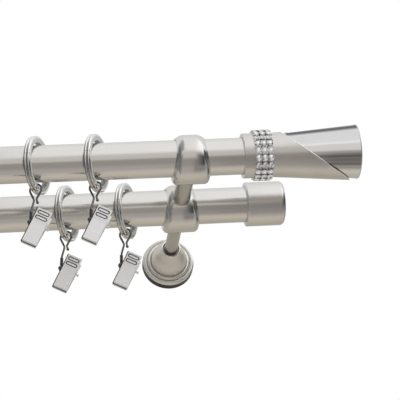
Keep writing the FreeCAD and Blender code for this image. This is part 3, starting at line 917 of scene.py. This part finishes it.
def band_tree():
    """Copies of one piece in rows round the pole's axis, each standing outwards."""
    tree = bpy.data.node_groups.new("crystal_band", "GeometryNodeTree")
    for label, kind, value in (
        ("Piece", "NodeSocketObject", None),
        ("Paint", "NodeSocketMaterial", None),
        ("Rows", "NodeSocketInt", 3),
        ("Round", "NodeSocketInt", 20),
        ("Pitch", "NodeSocketFloat", 0.0042),
        ("Radius", "NodeSocketFloat", 0.01575),
        ("Start", "NodeSocketVector", (0, 0, 0)),
        ("Turn", "NodeSocketFloat", 0.0),
    ):
        socket = tree.interface.new_socket(label, in_out="INPUT", socket_type=kind)
        if value is not None:
            socket.default_value = value
    tree.interface.new_socket("Geometry", in_out="OUTPUT", socket_type="NodeSocketGeometry")
    make = tree.nodes.new
    start, end = make("NodeGroupInput"), make("NodeGroupOutput")
    row = make("GeometryNodeMeshLine")
    offset = make("ShaderNodeCombineXYZ")
    circle = make("GeometryNodeMeshCircle")
    wheel = make("GeometryNodeInstanceOnPoints")
    wheel.inputs["Rotation"].default_value = (0, math.pi / 2, 0)
    points = make("GeometryNodeRealizeInstances")
    turned_points = make("GeometryNodeTransform")
    turn = make("ShaderNodeCombineXYZ")
    place = make("GeometryNodeInputPosition")
    outwards = vector_node(tree, "MULTIPLY", None, (0, 1, 1))
    aim = make("FunctionNodeAlignRotationToVector")
    aim.axis = "Z"
    source = make("GeometryNodeObjectInfo")
    copies = make("GeometryNodeInstanceOnPoints")
    moved = make("GeometryNodeTransform")
    real = make("GeometryNodeRealizeInstances")
    paint = make("GeometryNodeSetMaterial")
    link_nodes(
        tree,
        (start.outputs["Rows"], row.inputs["Count"]),
        (start.outputs["Pitch"], offset.inputs["X"]),
        (offset.outputs["Vector"], row.inputs["Offset"]),
        (start.outputs["Round"], circle.inputs["Vertices"]),
        (start.outputs["Radius"], circle.inputs["Radius"]),
        (row.outputs["Mesh"], wheel.inputs["Points"]),
        (circle.outputs["Mesh"], wheel.inputs["Instance"]),
        (wheel.outputs["Instances"], points.inputs["Geometry"]),
        (points.outputs["Geometry"], turned_points.inputs["Geometry"]),
        (start.outputs["Turn"], turn.inputs["X"]),
        (turn.outputs["Vector"], turned_points.inputs["Rotation"]),
        (place.outputs["Position"], outwards.inputs[0]),
        (outwards.outputs["Vector"], aim.inputs["Vector"]),
        (start.outputs["Piece"], source.inputs["Object"]),
        (turned_points.outputs["Geometry"], copies.inputs["Points"]),
        (source.outputs["Geometry"], copies.inputs["Instance"]),
        (aim.outputs["Rotation"], copies.inputs["Rotation"]),
        (copies.outputs["Instances"], moved.inputs["Geometry"]),
        (start.outputs["Start"], moved.inputs["Translation"]),
        (moved.outputs["Geometry"], real.inputs["Geometry"]),
        (real.outputs["Geometry"], paint.inputs["Geometry"]),
        (start.outputs["Paint"], paint.inputs["Material"]),
        (paint.outputs["Geometry"], end.inputs["Geometry"]),
    )
    return tree


def grown(name, tree, **values):
    """A plain mesh from a node tree, with the tree's inputs set by their names."""
    holder = mesh_piece(name + "_seed", [(0, 0, 0)], [])
    grower = holder.modifiers.new("grow", "NODES")
    grower.node_group = tree
    for item in tree.interface.items_tree:
        if item.in_out == "INPUT" and item.name in values:
            grower[item.identifier] = values[item.name]
    depsgraph = bpy.context.evaluated_depsgraph_get()
    mesh = bpy.data.meshes.new_from_object(holder.evaluated_get(depsgraph), depsgraph=depsgraph)
    bpy.data.objects.remove(holder)
    piece = bpy.data.objects.new(name, mesh)
    bpy.context.scene.collection.objects.link(piece)
    return piece


# The stones in their settings, and the head of a prong between each four of them, painted near black as a
# dark reflection
crystal_band = band_tree()
stone = cut_stone()
prong = prong_bead()
stone_rows = 3
stone_pitch = 0.0042
stones_round = 20
stone_seat_radius = 0.01572
prong_seat_radius = 0.0162
for end in ends:
    band_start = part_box(f"crystal_setting_{end}")[0][0]
    finish_node(f"finial_sleeve_{end}", sleeve_nickel)
    finish_node(f"finial_cone_{end}", cone_steel)
    finish_node(f"crystal_setting_{end}", setting_steel)
    stones = grown(
        f"stones_{end}", crystal_band,
        Piece=stone, Paint=crystal, Rows=stone_rows, Round=stones_round, Pitch=stone_pitch,
        Radius=stone_seat_radius, Start=(band_start + stone_pitch / 2, pole_y, 0), Turn=0.0,
    )
    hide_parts(f"crystals_{end}")
    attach(stones, "tubes_and_brackets")
    prongs = grown(
        f"prongs_{end}", crystal_band,
        Piece=prong, Paint=prong_shade_black, Rows=stone_rows - 1, Round=stones_round, Pitch=stone_pitch,
        Radius=prong_seat_radius, Start=(band_start + stone_pitch, pole_y, 0),
        Turn=math.pi / stones_round,
    )
    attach(prongs, "tubes_and_brackets")
bpy.data.objects.remove(stone)
bpy.data.objects.remove(prong)


def cut_edge(end):
    """The rolled edge of the sleeve's slanting cut, as a closed line on its outside."""
    steps = 96
    sign = 1 if end == "right" else -1
    low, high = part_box(f"finial_sleeve_{end}")
    mouth = low[0] if sign > 0 else high[0]
    tilt, turn = math.atan(1.35), math.radians(34)
    square = Vector((math.cos(tilt), -math.sin(tilt) * math.sin(turn), math.sin(tilt) * math.cos(turn)))
    flare_start, flare_radius, flare, cut_middle = 0.0192, 0.0149, 0.00425 / 0.054, 0.0473
    sunk_in, set_back = 0.0003, 0.0001
    line = []
    for step in range(steps):
        angle = 2 * math.pi * step / steps
        outwards = Vector((0, math.cos(angle), math.sin(angle)))
        slope = outwards.dot(square)
        reach = square.x * cut_middle - (flare_radius - flare_start * flare) * slope
        along = reach / (square.x + flare * slope)
        radius = flare_radius + (along - flare_start) * flare - sunk_in
        line.append(Vector((mouth + sign * (along - set_back), pole_y, 0)) + outwards * radius)
    return line + line[:1]


# The rolled edge of the sleeve's cut, painted near white as a highlight line, and the fine rim of the cone
edge_polish_and_highlight = fine_metal(
    "edge_polish_and_highlight", (0.90, 0.90, 0.89), (0.98, 0.98, 0.97), polish=0.3, lines=900
)
edge_wire, rim_wire = 0.0004, 0.0003
rim_back, rim_inset = 0.0004, 0.00012
for end in ends:
    cone_low, cone_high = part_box(f"finial_cone_{end}")
    mouth = cone_high[0] - rim_back if end == "right" else cone_low[0] + rim_back
    mouth_radius = (cone_high[2] - cone_low[2]) / 2 - rim_inset
    rim = closed_circle(Vector((mouth, pole_y, 0)), mouth_radius, y_axis, z_axis, 96)
    cone_rim = swept_wire(f"cone_rim_{end}", [rim], rim_wire, setting_steel)
    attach(cone_rim, "tubes_and_brackets")
    rolled = swept_wire(f"sleeve_edge_{end}", [cut_edge(end)], edge_wire, edge_polish_and_highlight)
    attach(rolled, "tubes_and_brackets")

# Rings
# Steel rings with a groove round the outside, turned and nickel plated, with painted shade on
# the left faces of their beads. A crowned plastic liner is pressed into each one and runs on the pole.
ring_numbers = (1, 2, 3, 4)
ring_axis = (0.9135, -0.4067, 0.0)
ring_metal = fine_metal(
    "ring_metal", (0.80, 0.79, 0.77), (0.92, 0.91, 0.89), polish=0.13, spread=0.06
)
# Painted shade: the faces turned to the left are painted dark grey.
masked_paint(ring_metal, ring_axis, -1.1, -0.12).default_value = (0.34, 0.33, 0.32, 1)
liner_plastic = moulded_plastic(
    "liner_plastic", (0.50, 0.50, 0.49), (0.60, 0.60, 0.58),
    roughness=0.4, spread=0.15, specks=1800, depth=0.00001,
)
for number in ring_numbers:
    finish_node(f"ring_shell_{number}", ring_metal)
    finish_node(f"ring_liner_{number}", liner_plastic)

# Hooks and clips
# A bent wire hook hangs in each ring and carries a spring clip of nickel plated steel: a back
# and a front plate with two slots each, the pin that they turn on, and a torsion spring on it.
# The left edges and the slots of the plates carry painted shade, and the wire is wound above the pin.
wire_steel = fine_metal("wire_steel", grey(0.13), grey(0.24), polish=0.2)
spring_steel = fine_metal("spring_steel", grey(0.24), grey(0.36), polish=0.25)
# Near black for the painted shade lines round the slots and down the plates' edges.
shade_line_black = fine_metal("shade_line_black", grey(0.02), grey(0.05), polish=0.35)
slot_pale = fine_metal("slot_pale", grey(0.90), grey(0.98), polish=0.4, metallic=0.2)
clip_steel = brushed_metal(
    "clip_steel", (0.75, 0.75, 0.74), (0.85, 0.85, 0.84),
    polish=0.36, spread=0.1, lines=(1500, 200, 1500), depth=0.00001, cloud=60, metallic=0.55,
)
pin_steel = clip_steel.copy()
pin_steel.name = "pin_steel"
back_steel = clip_steel.copy()
back_steel.name = "clip_steel_back"
jaw_joints = {joint["child"]: joint for joint in frame["record"]["behaviour"]["joints"]}
clip_right = -Vector(jaw_joints["jaw_1"]["axis"])
# Painted shade: the faces of each plate that turn to the left are painted near black.
for steel, level in ((clip_steel, 0.02), (back_steel, 0.05)):
    masked_paint(steel, clip_right, -1.1, -0.5).default_value = (*grey(level), 1)

slot_places = (0.0079, 0.0043)
slot_steps = 24
plate_half_width = 0.0052
lever_top, jaw_bottom, plate_bottom = 0.0103, -0.0142, -0.0155
coil_radius = 0.0011


def on_plate(plate, over, along, inwards=0.0):
    """A point on a clip plate's outside, above the pin on its lever and below it on its jaw."""
    pivot, across, up, side = plate
    lever_slope, jaw_slope = 0.0019 / 0.0104, 0.0011 / 0.0142
    depth_at_pin, least_depth = 0.0027, 0.0009
    slope = lever_slope if along > 0 else jaw_slope
    depth = max(depth_at_pin + slope * along, least_depth) - inwards
    return pivot + across * over + up * along + y_axis * side * depth


def slot_outline(plate, place, inwards=0.0):
    """A closed line round one slot of a plate."""
    half_length, half_width = 0.0029, 0.0010
    line = []
    for step in range(slot_steps):
        turn = 2 * math.pi * (step + 0.5) / slot_steps
        over = half_width * math.cos(turn) + math.copysign(half_length, math.cos(turn))
        line.append(on_plate(plate, over, place + half_width * math.sin(turn), inwards))
    return line + line[:1]


def slot_floors(plate):
    """The pale wall that shows in the slots, a thin slab under the outside of the plate."""
    corners, faces = [], []
    for place in slot_places:
        for inwards in (0.00025, 0.00045):
            base = len(corners)
            corners += slot_outline(plate, place, inwards)[:-1]
            faces.append(tuple(range(base, base + slot_steps)))
        front = base - slot_steps
        for step in range(slot_steps):
            after = (step + 1) % slot_steps
            faces.append((base + step, base + after, front + after, front + step))
    return corners, faces


def shade_edge_line(plate):
    """A line of painted shade down the left edge of a plate and along its bottom."""
    left = [on_plate(plate, -plate_half_width, along, 0.0002) for along in (lever_top, 0.0, jaw_bottom)]
    low = [on_plate(plate, over, plate_bottom, 0.0001) for over in (-plate_half_width, plate_half_width)]
    return left + low


def spring_leg(plate):
    """The straight leg of the torsion spring under one lever."""
    pivot, across, up, side = plate
    from_middle, under_lever, reach = 0.0014, 0.002666, 0.006
    foot = pivot + across * side * from_middle + y_axis * side * coil_radius
    tip = pivot + across * side * from_middle + y_axis * side * under_lever + up * reach
    return [foot, tip]


def spring_turns(plate):
    """The five turns of the torsion spring round the pin."""
    pivot, across, up, side = plate
    turns, steps_a_turn, coil_length = 5, 16, 0.0028
    line = []
    for step in range(turns * steps_a_turn + 1):
        angle = 2 * math.pi * step / steps_a_turn
        ray = up * math.sin(angle) - y_axis * math.cos(angle)
        along = coil_length * (step / (turns * steps_a_turn) - 0.5)
        line.append(pivot + across * along + ray * coil_radius)
    return line


def wound_wire(foot, top, radius, turns):
    """A helix round the straight end of the hook's leg."""
    steps_a_turn = 12
    along = top - foot
    first = along.cross(y_axis).normalized()
    second = along.cross(first).normalized()
    line = []
    for step in range(turns * steps_a_turn + 1):
        angle = 2 * math.pi * step / steps_a_turn
        middle = foot + along * (step / (turns * steps_a_turn))
        line.append(middle + (first * math.cos(angle) + second * math.sin(angle)) * radius)
    return line


def pin_knob(pivot, across):
    """The spread left end of the pin, with the wire's eye beside it."""
    sides = 12
    up = y_axis.cross(across).normalized()
    profile = (
        (0.0050, 0.0008), (0.0056, 0.0014), (0.0066, 0.0016), (0.0074, 0.0012), (0.0078, 0.0005)
    )
    corners, faces = [], []
    for over, radius in profile:
        corners += closed_circle(pivot - across * over, radius, y_axis, up, sides)[:-1]
    for base in range(0, len(corners) - sides, sides):
        for side in range(sides):
            after = (side + 1) % sides
            faces.append((base + side, base + after, base + sides + after, base + sides + side))
    faces.append(tuple(range(sides)))
    faces.append(tuple(range(len(corners) - sides, len(corners))))
    return corners, faces


slot_wire, shade_edge_wire, spring_wire, winding_wire = 0.00030, 0.00036, 0.00035, 0.0003
leg_left, leg_rise = 0.00605, 0.00145
leg_run = Vector((0.00079, 0, 0.0077)) * 0.85
winding_radius, winding_turns = 0.00095, 6
for number in ring_numbers:
    finish_node(f"hook_{number}", wire_steel)
    finish_node(f"clip_pin_{number}", pin_steel)
    finish_node(f"clip_back_{number}", back_steel)
    finish_node(f"clip_front_{number}", clip_steel)
    joint = jaw_joints[f"jaw_{number}"]
    pivot = Vector(joint["pos_m"])
    across = -Vector(joint["axis"])
    up = Vector((-across.z, 0, across.x))
    for body, side in (("jaw", -1), ("clip", 1)):
        plate = (pivot, across, up, side)
        # Black wire round each slot: painted shade along the slot's edge.
        lines = [slot_outline(plate, place) for place in slot_places]
        shade_rims = swept_wire(f"slot_rims_{body}_{number}", lines, slot_wire, shade_line_black)
        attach(shade_rims, f"{body}_{number}")
        floor_piece = mesh_piece(f"slot_floors_{body}_{number}", *slot_floors(plate), slot_pale)
        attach(floor_piece, f"{body}_{number}")
        spring_lines = [spring_leg(plate)]
        if body == "clip":
            spring_lines.append(spring_turns(plate))
        spring = swept_wire(f"spring_{body}_{number}", spring_lines, spring_wire, spring_steel)
        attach(spring, f"{body}_{number}")
        if body == "clip":
            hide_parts(f"clip_spring_{number}")
    # Black wire down the jaw plate's left edge and along its bottom: painted shade.
    shade_edge = swept_wire(f"dark_hem_{number}", [shade_edge_line((pivot, across, up, -1))], shade_edge_wire, shade_line_black)
    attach(shade_edge, f"jaw_{number}")
    leg_foot = pivot - across * leg_left + up * leg_rise
    coil = wound_wire(leg_foot, leg_foot + leg_run, winding_radius, winding_turns)
    winding = swept_wire(f"winding_{number}", [coil], winding_wire, wire_steel)
    knob = mesh_piece(f"pin_knob_{number}", *pin_knob(pivot, across), wire_steel)
    for piece in (winding, knob):
        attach(piece, f"clip_{number}")
